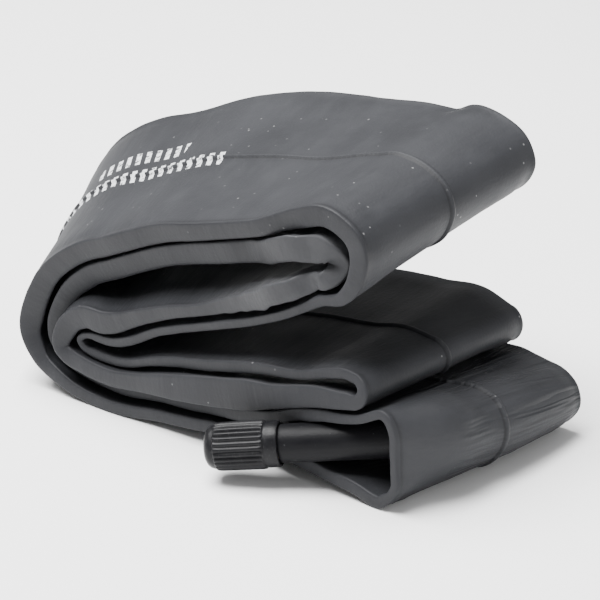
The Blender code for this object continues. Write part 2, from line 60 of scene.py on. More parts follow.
# %% The valve's axis
SEAT = Vector(joints["cap_turn"]["pos_m"])
AXIS = Vector(joints["cap_turn"]["axis"]).normalized()
ON_VALVE = Matrix.Translation(SEAT) @ AXIS.to_track_quat("Z", "Y").to_matrix().to_4x4()
STEM_LENGTH = 34.2            # mm, from the wall to the end of the rubber
TIP = 46.1                    # mm, end of the brass thread
print("valve seat in mm:", [round(value / MM, 1) for value in SEAT])

# %% [markdown]
# ## The route of the band
# A tube that is pressed flat is a long closed band. Here it runs through eight layers joined by eight
# folds, like a folded paper ribbon. A layer is described by the heights of its near and far edge over
# five places, and a fold by its tip. A smooth curve through all those points gives the two edges, and
# the band is ruled straight between them, as a flat tube cannot bend across its own width.

# %% Layers and folds, in mm
BAND_WIDTH = 56.0
LAYER_PITCH = 3.15
SLOPED_PITCH = 1.05           # a sloping layer takes this much more height
HALF_LAYER = 1.4
RUN_PLACES = (-30, -15, 0, 12, 23)
RUNS = (
    ("A_low", (1.4, 2.9, 4.3, 4.4, 4.1), (1.4, 1.4, 1.4, 1.4, 1.4)),
    ("B_low", (4.6, 6.2, 7.8, 10.0, 14.5), (4.6, 5.2, 6.5, 9.0, 11.6)),
    ("C_low", (7.8, 9.4, 11.6, 14.4, 17.4), (8.5, 9.5, 11.5, 13.6, 15.8)),
    ("D_low", (11.0, 15.2, 18.6, 21.3, 22.8), (13.0, 17.0, 20.4, 23.0, 24.4)),
    ("D_up", (16.0, 22.4, 27.7, 32.0, 37.6), (21.5, 30.5, 37.8, 42.6, 46.4)),
    ("C_up", (21.5, 27.0, 31.5, 36.0, 41.0), (27.0, 36.0, 42.4, 46.3, 49.8)),
    ("B_top", (32.2, 38.9, 43.4, 46.8, 50.2), (40.0, 48.4, 53.0, 55.5, 57.2)),
    ("A_top", (38.2, 44.6, 48.6, 52.2, 57.2), (46.6, 55.0, 59.8, 61.6, 64.0)),
)
FOLDS = {
    "left_A": ((-54.0, 12.3), (-86.0, 19.0), 0.0, 1.6, 1.0),
    "left_B": ((-47.6, 11.0), (-79.0, 17.0), 0.0, 1.5, 1.0),
    "left_C": ((-43.0, 11.5), (-72.0, 16.0), 0.0, 1.0, 1.0),
    "left_D": ((-38.6, 13.8), (-62.0, 16.0), 0.0, 0.75, 0.75),
    "right_1": ((38.3, 51.5), (38.2, 57.0), 0.0, 1.0, 1.0),
    "right_inner": ((31.4, 47.8), (31.4, 55.0), 0.0, 1.0, 1.0),
    "right_2": ((38.6, 23.4), (36.2, 20.2), 0.6, 1.0, 1.0),
    "right_3": ((47.0, 14.6), (51.6, 7.6), 4.0, 1.0, 1.0),
}
RING_ORDER = (
    ("A_top", -1, "left_A"), ("A_low", 1, "right_3"), ("B_low", -1, "left_B"),
    ("B_top", 1, "right_inner"), ("C_up", -1, "left_C"), ("C_low", 1, "right_2"),
    ("D_low", -1, "left_D"), ("D_up", 1, "right_1"),
)
EXTRA_PLACES = {
    "A_top": ((28, 58.9, 65.0),),
    "D_up": ((28, 40.6, 48.8),),
    "C_up": ((27, 43.6, 52.0),),
    "B_top": ((27.5, 51.2, 57.8),),
    "D_low": ((30, 25.2, 25.0), (35, 26.0, 22.8)),
    "C_low": ((30, 19.6, 16.6), (35, 20.6, 17.8)),
    "A_low": ((37, 2.6, 1.4), (44, 1.6, 1.4)),
    "B_low": ((28, 15.7, 12.6), (38, 17.9, 13.4), (44, 20.6, 12.8)),
}
FOLD_ANGLES = (60, 30, 0, -30, -60)
RIGHT_TIP = 38.0              # x past which near and far edges lie over each other
FAR_FLARE = 1.35              # the far edge reaches this much further left
VALVE_PLACE = 2.0             # control places past the start of the valve's fold
VALVE_HEIGHT = 13.2           # mm over the floor
VALVE_SHARE = 0.255           # of the width, from the near edge to the valve


def far_x(x):
    """Place on the far edge across from x on the near edge."""
    return RIGHT_TIP - (RIGHT_TIP - x) * FAR_FLARE if x < RIGHT_TIP else x


def stacked_runs():
    """Near and far heights of every layer, each kept clear of the one under it."""
    stacks = ({}, {})
    for edge in (0, 1):
        below = None
        for name, near, far in RUNS:
            places = list(zip(RUN_PLACES, (near, far)[edge]))
            places += [(extra[0], extra[1 + edge]) for extra in EXTRA_PLACES.get(name, ())]
            points = []
            for x, z in places:
                if below is not None:
                    under = np.interp(x, [spot[0] for spot in below], [spot[1] for spot in below])
                    z = max(z, under + LAYER_PITCH * SLOPED_PITCH)
                points.append((x, z))
            stacks[edge][name] = points
            below = points
    return stacks


def fold_points(start, end, tip, powers):
    """Points round a fold from one layer's end to the next one's, past the tip."""
    upper, lower = (start, end) if start[1] > end[1] else (end, start)
    points = []
    for angle in FOLD_ANGLES:
        turn = math.radians(abs(angle))
        run = upper if angle >= 0 else lower
        power = powers[0] if angle >= 0 else powers[1]
        x = run[0] + (tip[0] - run[0]) * math.cos(turn) ** power
        z = tip[1] + (run[1] - tip[1]) * math.sin(turn)
        points.append((x, z))
    return points if start is upper else points[::-1]


def ring_controls():
    """All control points of the band: near x and z, far x and z, and the fold's crown, in mm."""
    stacks = stacked_runs()
    names = [name for name, way, fold in RING_ORDER]
    controls = []
    starts = {}
    for index, (name, way, fold) in enumerate(RING_ORDER):
        starts[name] = len(controls)
        near = stacks[0][name][::way]
        far = [(far_x(x), z) for x, z in stacks[1][name]][::way]
        controls += [[*here, *there, 0.0] for here, there in zip(near, far)]
        starts[fold] = len(controls)
        following = names[(index + 1) % len(names)]
        ends = []
        for edge in (0, 1):
            last = stacks[edge][name][::way][-1]
            first = stacks[edge][following][::-way][0]
            if edge == 1:
                last = (far_x(last[0]), last[1])
                first = (far_x(first[0]), first[1])
            ends.append(fold_points(last, first, FOLDS[fold][edge], FOLDS[fold][3:]))
        for angle, here, there in zip(FOLD_ANGLES, *ends):
            crown = FOLDS[fold][2] * math.cos(math.radians(angle)) ** 2
            controls.append([*here, *there, crown])
    return np.array(controls), starts


CONTROLS, STARTS = ring_controls()
COUNT = len(CONTROLS)
AHEAD = np.roll(CONTROLS, -1, axis=0)
SPANS = (np.hypot(*(AHEAD - CONTROLS)[:, :2].T) + np.hypot(*(AHEAD - CONTROLS)[:, 2:4].T)) / 2
print("control points round the ring:", COUNT)

# %% [markdown]
# ## Reading the band
# `edges` is a smooth spline through the control points. `band` gives points on the band and the
# direction that faces out of the ring there, for many places at once, because numpy is far quicker
# than a loop over a hundred thousand points.

# %% Spline and band


def edges(places):
    """Near x and z, far x and z and crown at places round the ring."""
    places = np.mod(places, COUNT)
    index = np.minimum(places.astype(int), COUNT - 1)
    part = (places - index)[:, None]
    p0, p1, p2, p3 = (CONTROLS[(index + step) % COUNT] for step in (-1, 0, 1, 2))
    before, here, after = (SPANS[(index + step) % COUNT][:, None] for step in (-1, 0, 1))
    chord = (p2 - p1) / here
    start = ((p1 - p0) / before * here + chord * before) / (before + here) * here
    finish = (chord * after + (p3 - p2) / after * here) / (here + after) * here
    a = 2 * p1 - 2 * p2 + start + finish
    b = -3 * p1 + 3 * p2 - 2 * start - finish
    return ((a * part + b) * part + start) * part + p1


def ruled(ends, share):
    """Points between the near and the far edge, for shares of the width from 0 to 1."""
    x = ends[:, 0:1] + (ends[:, 2:3] - ends[:, 0:1]) * share
    z = ends[:, 1:2] + (ends[:, 3:4] - ends[:, 1:2]) * share
    y = np.broadcast_to((share - 0.5) * BAND_WIDTH, x.shape)
    return np.stack((x, y, z), -1)


def band(places, share):
    """Points on the band, and the unit directions out of the ring."""
    step = 0.02
    ends = edges(places)
    along = ruled(edges(places + step), share) - ruled(edges(places - step), share)
    over = ruled(ends, np.ones((1, 1))) - ruled(ends, np.zeros((1, 1)))
    normal = np.cross(np.broadcast_to(over, along.shape), along)
    normal /= np.linalg.norm(normal, axis=-1, keepdims=True)
    crown = ends[:, 4:5] * 4 * share * (1 - share)
    return ruled(ends, share) + normal * crown[..., None], normal


def ring_places(count):
    """Places round the ring, closer together where the edges bend."""
    fine = np.linspace(0, COUNT, COUNT * 24 + 1)
    ends = edges(fine)
    length = np.zeros(len(fine) - 1)
    weight = np.zeros(len(fine) - 1)
    for first in (0, 2):
        move = np.diff(ends[:, first:first + 2], axis=0)
        length += np.hypot(*move.T) / 2
        angle = np.unwrap(np.arctan2(move[:, 1], move[:, 0]))
        weight += np.abs(np.diff(angle, append=angle[-1])) * BEND_WEIGHT / 2
    reach = np.concatenate(([0.0], np.cumsum(length + weight)))
    run = np.concatenate(([0.0], np.cumsum(length)))
    places = np.interp(np.linspace(0, reach[-1], count, endpoint=False), reach, fine)
    return places, np.interp(places, fine, run), run[-1]


BEND_WEIGHT = 2.2             # mm of extra spacing for each radian of bend
RINGS = 880
PLACES, ALONG, RING_LENGTH = ring_places(RINGS)
VALVE_AT = STARTS["right_3"] + VALVE_PLACE
VALVE_POINT, VALVE_OUTWARD = (row[0, 0] for row in band(np.array([VALVE_AT]), np.array([[VALVE_SHARE]])))
seat_on_band = Vector((VALVE_POINT[0] - HALF_LAYER, VALVE_POINT[1], VALVE_HEIGHT))
SHIFT = SEAT / MM - seat_on_band
print("flat length of the ring in mm:", round(RING_LENGTH), "shift:", [round(v, 2) for v in SHIFT])

# %% [markdown]
# ## How thick the band is
# A let-down tube is thin in the middle and fat at its two edges, where the rubber turns round and
# keeps a little air. The edges swell until they press on the next layer. So the room beside each edge
# is measured first: the largest disc that touches the edge line and no other part of it.

# %% Room beside the edges
GAP = 0.16


def room_beside(points, normals):
    """Radius of the largest disc on the normals' side that no other part of the line enters."""
    apart = points[None] - points[:, None]
    reach = (apart * normals[:, None]).sum(-1)
    square = (apart ** 2).sum(-1)
    radius = np.where(reach > 1e-6, square / np.maximum(2 * reach, 1e-9), 99.0)
    return radius.min(1)


def eased(values, reach):
    """Values held to the lowest neighbour and then smoothed, round the closed ring."""
    rolled = np.array([np.roll(values, step) for step in range(-reach, reach + 1)])
    low = rolled.min(0)
    weights = np.exp(-np.linspace(-2, 2, 2 * reach + 1) ** 2)
    rolled = np.array([np.roll(low, step) for step in range(-reach, reach + 1)])
    return (rolled * weights[:, None]).sum(0) / weights.sum()


def zone(first, last, soft=1.2):
    """1 between two control places round the ring, fading out softly."""
    inside = np.minimum(PLACES - first, last - PLACES)
    return np.clip(inside / soft + 0.5, 0, 1)


def edge_swell(share, free, wish, favour=0.5):
    """Half thickness at an edge, on the outer and on the hub side, where favour shares the hub gap."""
    points, normals = band(PLACES, np.array([[share]]))
    flat_points = points[:, 0, ::2]
    flat_normals = normals[:, 0, ::2] / np.linalg.norm(normals[:, 0, ::2], axis=-1, keepdims=True)
    swell = []
    for side, part in ((1, 0.5), (-1, favour)):
        room = room_beside(flat_points, side * flat_normals)
        crowded = np.clip((9.0 - room) / 3.0, 0, 1)
        want = free + (wish - free) * crowded
        swell.append(np.clip(eased(np.minimum(2 * part * room - GAP, want), 4), 0.75, None))
    return swell


def held(edge, limit, where):
    """An edge's half thickness, held to a limit where the zone is 1."""
    return edge + (np.minimum(edge, limit) - edge) * where


beside_valve = zone(STARTS["A_low"] - 1, STARTS["left_B"] - 2)
inner_fold = zone(STARTS["right_inner"] - 2.5, STARTS["C_up"] + 2.8)
fat_c = zone(STARTS["C_up"] + 4, STARTS["right_2"] - 2, 2.0)
fat_a = zone(STARTS["left_A"] - 3, STARTS["A_low"] + 1, 2.0)
thin_b = zone(STARTS["left_B"] - 2, STARTS["B_top"] + 2, 2.0)
thin_d = zone(STARTS["D_low"] - 2, STARTS["right_1"] - 1, 2.0)
favour = 0.5 + 0.28 * fat_c + 0.12 * fat_a - 0.12 * thin_b - 0.28 * thin_d
NEAR_OUT, NEAR_HUB = edge_swell(0.0, 1.5, 3.1 + 1.9 * fat_c + 0.8 * fat_a, favour)
FAR_OUT, FAR_HUB = edge_swell(1.0, 1.4, 2.0)
NEAR_HUB = held(NEAR_HUB, 1.35, beside_valve)
NEAR_OUT = held(NEAR_OUT, 1.3, thin_d)
NEAR_HUB = held(NEAR_HUB, 1.3, thin_d)
NEAR_OUT = held(NEAR_OUT, 1.1, zone(STARTS["C_up"] + 2.6, STARTS["left_C"] - 0.5, 1.6))
NEAR_OUT = NEAR_OUT + 0.9 * np.exp(-((PLACES - STARTS["right_inner"] - 2) / 1.3) ** 2)
valve_fold = zone(STARTS["right_3"] - 0.6, STARTS["B_low"] + 1.6)
NEAR_OUT = held(NEAR_OUT, 0.95, valve_fold)
NEAR_HUB = held(NEAR_HUB, 1.0, valve_fold)
MIDDLE = 1.12
print("near edge thickness in mm: from", round(float((NEAR_OUT + NEAR_HUB).min()), 1),
      "to", round(float((NEAR_OUT + NEAR_HUB).max()), 1))

# %% [markdown]
# ## Where the near edge steps back
# The layers do not end in one plane. The second layer lies a little deeper at its curl, the third
# stands proud, and the tip of the innermost fold is tucked in, so that its edge rolls out of sight.

# %% Steps of the near edge
STEP_BACK = (2.6 * zone(STARTS["B_low"] + 4, STARTS["B_top"] + 2.5, 2.5)
             + 1.2 * zone(STARTS["A_low"] + 1, STARTS["A_low"] + 4, 2.0)
             - 0.9 * fat_c + 0.7 * thin_d
             + 2.6 * np.exp(-((PLACES - STARTS["right_inner"] - 1.9) / 1.3) ** 2)
             - 1.5 * np.exp(-((PLACES - STARTS["B_top"] - 3.8) / 0.6) ** 2)
             + 0.9 * np.exp(-((PLACES - STARTS["B_top"] - 2.7) / 0.35) ** 2)
             - 1.7 * np.exp(-((PLACES - STARTS["C_up"] - 1.5) / 0.6) ** 2)
             + 0.9 * np.exp(-((PLACES - STARTS["C_up"] - 0.3) / 0.4) ** 2))
print("near edge steps back by up to", round(float(STEP_BACK.max()), 1), "mm")

# %% [markdown]
# ## The section of the band
# The section is drawn once, as half of it: from the middle of the far edge over the outer side to the
# middle of the near edge. Each point says how far it is from the near edge, and how much of the near,
# middle and far thickness it takes. A small lip stands at the near corner, and the moulding seam runs
# along the middle as a low ridge.

# %% Section points
LIP_END = 2.8                 # mm from the edge where the lip's outline ends
LIP_SHARE = 0.88              # share of the edge's thickness there
LIP = ((0.02, 0.0), (0.05, 0.4), (0.1, 0.74), (0.2, 0.92), (0.42, 0.99), (0.78, 1.0), (1.15, 0.93),
       (1.8, 0.885), (LIP_END, LIP_SHARE))
BLEND = 13.0                  # mm over which an edge's swelling fades out
SEAM_HEIGHT = 0.5             # mm
SEAM_HALF = 0.62              # mm, half the seam's width


def fade(distance):
    """Share of the edge's thickness at a distance from it."""
    part = np.clip((distance - LIP_END) / BLEND, 0, 1)
    return LIP_SHARE * (1 - part * part * (3 - 2 * part))


def half_section():
    """Rows of distance from the near edge, shares of near, middle and far thickness, and ridge."""
    rows = [(a, share, 0.0, 0.0, 0.0) for a, share in LIP]
    inner = [4.2, 6.0, 8.0, 10.5, 13.5, 17.0, 21.0, 25.0]
    seam = [26.9, 27.35, 27.6, 27.8, 28.0, 28.2, 28.4, 28.65, 29.1]
    inner += seam + [BAND_WIDTH - a for a in reversed(inner)]
    for a in inner:
        near = fade(a)
        far = fade(BAND_WIDTH - a)
        ridge = max(0.0, 1 - ((a - BAND_WIDTH / 2) / SEAM_HALF) ** 2) ** 0.5
        rows.append((a, near, 1 - near - far, far, ridge))
    rows += [(BAND_WIDTH - a, 0.0, 0.0, share, 0.0) for a, share in reversed(LIP)]
    return np.array(rows)


HALF = half_section()
OUTER = HALF[::-1]            # far to near, over the outer side
HUB = HALF[1:-1]              # near to far, over the hub side
SECTION = np.concatenate((OUTER, HUB))
SIDE = np.concatenate((np.ones(len(OUTER)), -np.ones(len(HUB))))
SPOTS = len(SECTION)
print("points round the section:", SPOTS, "quads in the skin:", SPOTS * RINGS)

# %% [markdown]
# ## The rubber skin
# The tube could be a torus, but Blender's torus stops at 256 loops, too few for these tight folds.
# So it is made as in the factory, from a flat sheet: a fine grid, with a row for each place on the
# route and a column for each point of the section, is rolled up and its edges are merged.
# Swollen edges, soft lumps where the innermost fold is crumpled, and small unevenness come from
# moving the points along the band's own outward direction. The sheet also gets a map that follows
# the rubber, because ribs, streaks and print run along the tube however it is folded: U is the distance
# along the ring and V the distance round the section, in metres. The map and the attributes are
# given before the merge, while each edge of the sheet still has its own two ends.

# %% Roll the sheet up


def deselect():
    bpy.ops.object.select_all(action="DESELECT")


def bump_at(centre, width):
    """A soft hump round a control place, along the ring."""
    return np.exp(-((PLACES - centre) / width) ** 2)


FOOT_RISE = 1.9               # mm, dome that the valve's foot pushes out
FOOT_REACH = 6.5
HOLLOW_DEPTH = 1.1            # mm, dip beside the dome
HOLLOW_PLACE = 23.0           # mm from the near edge
BROAD_LUMPS = (0.14, 1.3)     # mm everywhere, and more where the innermost fold is crumpled
FINE_LUMPS = (0.06, 0.35)
NOTCH_DEPTH = 1.5             # mm, pinch in the far edge of the top layer
EDGE_WAVE = 0.45              # mm, how far the near edge wanders


def uneven(scale, seed, stretch=1.0):
    """Smooth noise over the skin, from -1 to 1, finer for a larger scale."""
    field = np.zeros((RINGS, SPOTS))
    across = np.cumsum(np.abs(np.diff(SECTION[:, 0], prepend=SECTION[0, 0])))
    for ring in range(RINGS):
        u = ALONG[ring] * scale
        for spot in range(SPOTS):
            field[ring, spot] = noise.noise((u, across[spot] * scale * stretch, seed))
    return field


def skin_points():
    share = np.clip(SECTION[:, 0] / BAND_WIDTH, 0, 1)[None]
    points, normals = band(PLACES, share)
    near = np.where(SIDE > 0, NEAR_OUT[:, None], NEAR_HUB[:, None])
    far = np.where(SIDE > 0, FAR_OUT[:, None], FAR_HUB[:, None])
    height = near * SECTION[:, 1] + MIDDLE * SECTION[:, 2] + far * SECTION[:, 3]
    height = height + SECTION[:, 4] * SEAM_HEIGHT * (SIDE > 0)
    from_near = SECTION[:, 0][None]
    close = np.exp(-(from_near / 6.0) ** 2)
    beside_foot = (from_near - VALVE_SHARE * BAND_WIDTH) / FOOT_REACH
    foot = bump_at(VALVE_AT + 1.0, 1.7)[:, None] * np.exp(-beside_foot ** 2)
    hollow = bump_at(VALVE_AT + 1.6, 1.5)[:, None] * np.exp(-((from_near - HOLLOW_PLACE) / 3.6) ** 2)
    offset = height * SIDE
    offset = offset + FOOT_RISE * foot - HOLLOW_DEPTH * hollow
    broad = uneven(0.09, 3.1)
    fine = uneven(0.35, 8.4)
    lumps = inner_fold[:, None] * close
    offset = offset + broad * (BROAD_LUMPS[0] + BROAD_LUMPS[1] * lumps)
    offset = offset + fine * (FINE_LUMPS[0] + FINE_LUMPS[1] * lumps)
    wrinkle = bump_at(STARTS["right_3"] + 0.4, 1.3)[:, None] * close
    offset = offset + wrinkle * (1.3 * fine + 0.6 * broad)
    notch = bump_at(STARTS["A_top"] + 0.8, 0.5)[:, None] * np.exp(-((BAND_WIDTH - from_near) / 5) ** 2)
    offset = offset - NOTCH_DEPTH * notch
    points = points + normals * offset[..., None]
    edge_wave = np.array([noise.noise((u * 0.07, 4.2, 0.0)) for u in ALONG])
    points[..., 1] += (EDGE_WAVE * edge_wave + STEP_BACK)[:, None] * np.exp(-(from_near / 9.0) ** 2)
    points[..., 2] = np.maximum(points[..., 2], 0.0)
    return (points + np.array(SHIFT)) * MM


outline = np.hypot(np.diff(SECTION[:, 0], append=SECTION[0, 0]),
                   np.diff((SECTION[:, 1] + SECTION[:, 3]) * 2.0 * SIDE, append=0.0))
V_AT = np.concatenate(([0.0], np.cumsum(outline))) * MM
U_AT = np.concatenate((ALONG, [RING_LENGTH])) * MM
SEAM_V = float(V_AT[int(np.argmax(OUTER[:, 4]))])


# places of two lines of painted shade: in the fold by the near corner, and either side of the seam's bead
CREASE_PLACE = 1.35           # mm from the edge
SEAM_SHADE = 0.75             # mm from the seam's middle


def skin_attributes():
    """Values from 0 to 1 over the skin: pale talc, painted shade lines in the fold by the near corner and
    beside the seam, painted shade on the near edge's tip, ribs, cross ribs.
    """
    from_near = SECTION[:, 0][None]
    ones = np.ones((RINGS, 1))
    # masks of painted shade: a line in the fold by the near corner and lines on both sides of the seam
    corner = np.exp(-((from_near - CREASE_PLACE) / 0.3) ** 2)
    beside_seam = np.exp(-((np.abs(from_near - BAND_WIDTH / 2) - SEAM_SHADE) / 0.22) ** 2)
    return {
        "talc": 0.10 + 0.9 * inner_fold[:, None] * np.exp(-(from_near / 7.0) ** 2),
        # painted shade lines in the fold by the near corner and beside the seam
        "painted_line_shade": (corner * (SIDE > 0) + beside_seam * (SIDE > 0)) * ones,
        # painted shade on the tip of each near edge, where it turns into the gap between layers
        "edge": np.exp(-(from_near / 1.0) ** 2) * ones,
        "cross_ribs": valve_fold[:, None] * np.clip((from_near - 14) / 5, 0, 1) * (SIDE > 0) * ones,
        "ribs": ((SIDE < 0) * np.clip((SECTION[:, 0] - 4) / 6, 0, 1))[None] * ones,
    }


def make_skin():
    deselect()
    bpy.ops.mesh.primitive_grid_add(x_subdivisions=SPOTS, y_subdivisions=RINGS, size=2.0)
    skin = bpy.context.object
    skin.name = "tube_skin"
    mesh = skin.data
    flat = np.zeros(len(mesh.vertices) * 3)
    mesh.vertices.foreach_get("co", flat)
    column, row = (np.rint((flat.reshape(-1, 3)[:, :2] + 1) / 2 * (SPOTS, RINGS)).astype(int)).T
    mesh.vertices.foreach_set("co", skin_points()[row % RINGS, column % SPOTS].ravel())
    corner = np.zeros(len(mesh.loops), dtype=np.int64)
    mesh.loops.foreach_get("vertex_index", corner)
    uv = np.stack((U_AT[row[corner]], V_AT[column[corner]]), -1)
    mesh.uv_layers.active.data.foreach_set("uv", uv.ravel())
    for name, values in skin_attributes().items():
        made = mesh.attributes.new(name, "FLOAT", "POINT")
        made.data.foreach_set("value", values[row % RINGS, column % SPOTS].astype(np.float32))
    bpy.ops.object.mode_set(mode="EDIT")
    bpy.ops.mesh.select_all(action="SELECT")
    bpy.ops.mesh.remove_doubles(threshold=0.000001)
    bpy.ops.mesh.flip_normals()
    bpy.ops.object.mode_set(mode="OBJECT")
    bpy.ops.object.shade_smooth()
    return skin


skin = make_skin()
print("skin:", len(skin.data.polygons), "faces, seam at V =", round(SEAM_V, 4), "m")

# %% [markdown]
# ## Turned pieces
# Stem, threaded tip and cap are all turned round the valve's axis. `turn` works as by hand: a circle
# is added, and its edge is extruded upward and resized again and again along the outline. The two
# open ends are then bridged, for a pipe, or filled, for a solid.

# %% Helper for turned pieces


def turn(name, outline, steps, pipe):
    """A piece turned from (radius, height) points in mm, still upright on the origin."""
    deselect()
    radius, height = outline[0]
    bpy.ops.mesh.primitive_circle_add(vertices=steps, radius=radius * MM, location=(0, 0, 0))
    piece = bpy.context.object
    piece.name = name
    bpy.ops.object.mode_set(mode="EDIT")
    bpy.ops.mesh.select_mode(type="VERT")
    bpy.ops.mesh.select_all(action="SELECT")
    bpy.ops.transform.translate(value=(0, 0, height * MM))
    for wide, high in outline[1:]:
        bpy.ops.mesh.extrude_edges_move(TRANSFORM_OT_translate={"value": (0, 0, (high - height) * MM)})
        factor = wide / radius
        bpy.ops.transform.resize(value=(factor, factor, 1), center_override=(0, 0, high * MM))
        radius, height = wide, high
    bpy.ops.mesh.select_all(action="DESELECT")
    bpy.ops.mesh.select_non_manifold()
    if pipe:
        bpy.ops.mesh.bridge_edge_loops()
    else:
        bpy.ops.mesh.fill_holes(sides=0)
    bpy.ops.mesh.select_all(action="SELECT")
    bpy.ops.mesh.normals_make_consistent(inside=False)
    bpy.ops.object.mode_set(mode="OBJECT")
    return piece


def put_on_valve(piece, angle=40):
    """Carry an upright piece to the valve, with its place in its mesh, and shade it."""
    piece.data.transform(ON_VALVE)
    deselect()
    piece.select_set(True)
    bpy.context.view_layer.objects.active = piece
    bpy.ops.object.shade_smooth_by_angle(angle=math.radians(angle))
    return piece


# %% [markdown]
# ## The stem
# The stem is soft rubber moulded over a brass tube. It is widest at its root, and a fine line runs
# along it on two sides where the halves of the mould met. The dome at its root is half a flattened
# ball: a sphere is cut through its middle, and the half that is kept is turned to lie on the wall.

# %% Stem and root
STEM = ((5.0, 4.2), (4.7, 5.6), (4.42, 7.8), (4.26, 10.3), (4.12, 14.0),
        (4.03, 18.8), (3.99, 26.0), (3.96, 33.0), (3.9, 33.75), (3.72, 34.08), (3.45, 34.2), (2.95, 34.2),
        (2.95, 20.0), (2.95, 6.0), (3.2, 4.2))
MOULD_LINE = 0.07             # mm, height of the mould's line
STEM_SKIN = 3.5               # mm, points further out than this are on the outside
ROOT_INSET = 1.7              # mm, how far the dome is let into the wall
ROOT_RADII = (5.9, 5.9, 5.8)


def make_stem():
    stem = turn("valve_stem", STEM, 64, pipe=True)
    for vertex in stem.data.vertices:
        flat = math.hypot(vertex.co.x, vertex.co.y)
        if abs(vertex.co.y) < 0.05 * MM and flat > STEM_SKIN * MM:
            vertex.co.x *= 1 + MOULD_LINE * MM / flat
    return put_on_valve(stem)


def make_root():
    deselect()
    bpy.ops.mesh.primitive_uv_sphere_add(segments=48, ring_count=20, radius=1.0)
    root = bpy.context.object
    root.name = "valve_root"
    turned = Vector(-VALVE_OUTWARD).to_track_quat("Z", "Y").to_matrix().to_4x4()
    size = Matrix.Diagonal([radius * MM for radius in ROOT_RADII] + [1.0])
    bpy.ops.object.mode_set(mode="EDIT")
    bpy.ops.mesh.select_all(action="SELECT")
    bpy.ops.mesh.bisect(plane_co=(0, 0, 0), plane_no=(0, 0, 1), use_fill=True, clear_inner=True)
    bpy.ops.object.mode_set(mode="OBJECT")
    inside = SEAT - Vector(VALVE_OUTWARD) * ROOT_INSET * MM
    root.data.transform(Matrix.Translation(inside) @ turned @ size)
    bpy.ops.object.shade_smooth_by_angle(angle=math.radians(40))
    return root


stem = make_stem()
root = make_root()
print("stem faces:", len(stem.data.polygons), "root faces:", len(root.data.polygons))

# %% [markdown]
# ## The threaded tip
# Under the cap the brass tube carries a fine screw thread, 32 turns to the inch. A turned piece has
# level rings, so each ring is drawn in or let out by where it lies on the thread's slope, and the
# slope climbs once round the piece for each pitch.

# %% Thread
PITCH = 25.4 / 32
THREAD_RADIUS = 3.85
THREAD_DEPTH = 0.3


def make_thread():
    shoulder = STEM_LENGTH + 0.3
    outline = [(2.8, 6.6), (2.8, shoulder), (3.5, shoulder), (3.55, shoulder + 0.25)]
    rings = int((TIP - shoulder - 0.8) / (PITCH / 8))
    outline += [(THREAD_RADIUS, shoulder + 0.3 + ring * PITCH / 8) for ring in range(rings)]
    outline += [(3.5, TIP - 0.15), (3.3, TIP), (2.65, TIP), (2.65, TIP - 8.0), (1.9, TIP - 10.5), (1.9, 6.6)]
    thread = turn("valve_thread", outline, 48, pipe=True)
    for vertex in thread.data.vertices:
        flat = math.hypot(vertex.co.x, vertex.co.y) / MM
        if flat > THREAD_RADIUS - 0.01:
            turn_share = math.atan2(vertex.co.y, vertex.co.x) / math.tau
            slope = (vertex.co.z / MM / PITCH - turn_share) % 1
            depth = THREAD_DEPTH * (1 - abs(2 * slope - 1)) ** 0.8
            vertex.co.x *= 1 - depth / flat
            vertex.co.y *= 1 - depth / flat
    return put_on_valve(thread, 50)


thread = make_thread()
print("thread turns:", round((TIP - STEM_LENGTH) / PITCH))

# %% [markdown]
# ## The dust cap
# The cap is hard plastic. Its body has fine upright ribs for the fingers, its end is a low dome, and a
# smooth collar at the open end sits a little further in. The outline starts inside at the roof, runs
# down the bore, over the rim and up the outside. The ribs are then let into the wall by a cosine.

# %% Cap
CAP_RIBS = 26
RIB_DEPTH = 0.34              # mm
RIB_FOOT = 2.7                # mm, where the ribs start over the collar
RIB_TOP = 12.9
RIB_FADE = 0.5
RIB_RADIUS = 4.5              # mm, points further out than this take the ribs
CAP = ((0.3, 13.4), (2.0, 13.4), (3.97, 13.35), (3.97, 8.0), (3.98, 0.2), (4.1, -0.25), (4.35, -0.3),
       (4.6, -0.15), (4.72, 0.25), (4.72, 2.1), (4.66, 2.35), (4.7, 2.6), (4.9, 2.8), (4.97, 3.1),
       (5.0, 3.6), (4.99, 5.5), (4.97, 7.5), (4.95, 9.5), (4.93, 11.3), (4.9, 12.3), (4.8, 12.75),
       (4.62, 12.95), (4.5, 13.0), (4.46, 13.15), (4.42, 13.5), (4.2, 14.1), (3.8, 14.6), (3.1, 15.0),
       (2.2, 15.22), (1.1, 15.32), (0.25, 15.34))


def make_cap():
    cap = turn("cap_shell", CAP, CAP_RIBS * 8, pipe=False)
    for vertex in cap.data.vertices:
        flat = math.hypot(vertex.co.x, vertex.co.y) / MM
        high = vertex.co.z / MM
        if flat > RIB_RADIUS and high > RIB_FOOT:
            ends = min(1.0, (high - RIB_FOOT) / RIB_FADE, max(0.0, (RIB_TOP - high) / RIB_FADE))
            wave = 0.5 + 0.5 * math.cos(math.atan2(vertex.co.y, vertex.co.x) * CAP_RIBS)
            depth = RIB_DEPTH * ends * (1 - wave ** 0.6)
            vertex.co.x *= 1 - depth / flat
            vertex.co.y *= 1 - depth / flat
    cap.data.transform(Matrix.Translation((0, 0, STEM_LENGTH * MM)))
    return put_on_valve(cap, 35)


cap = make_cap()
print("cap faces:", len(cap.data.polygons))

# %% [markdown]
# ## Materials from nodes
# Every finish here is made from nodes. `Finish` keeps the node tree and has a short call for each
# kind of node, so that a material reads as a list of what lies on the surface. Values that are the
# same all over are set on the shader itself.

# %% Node helper


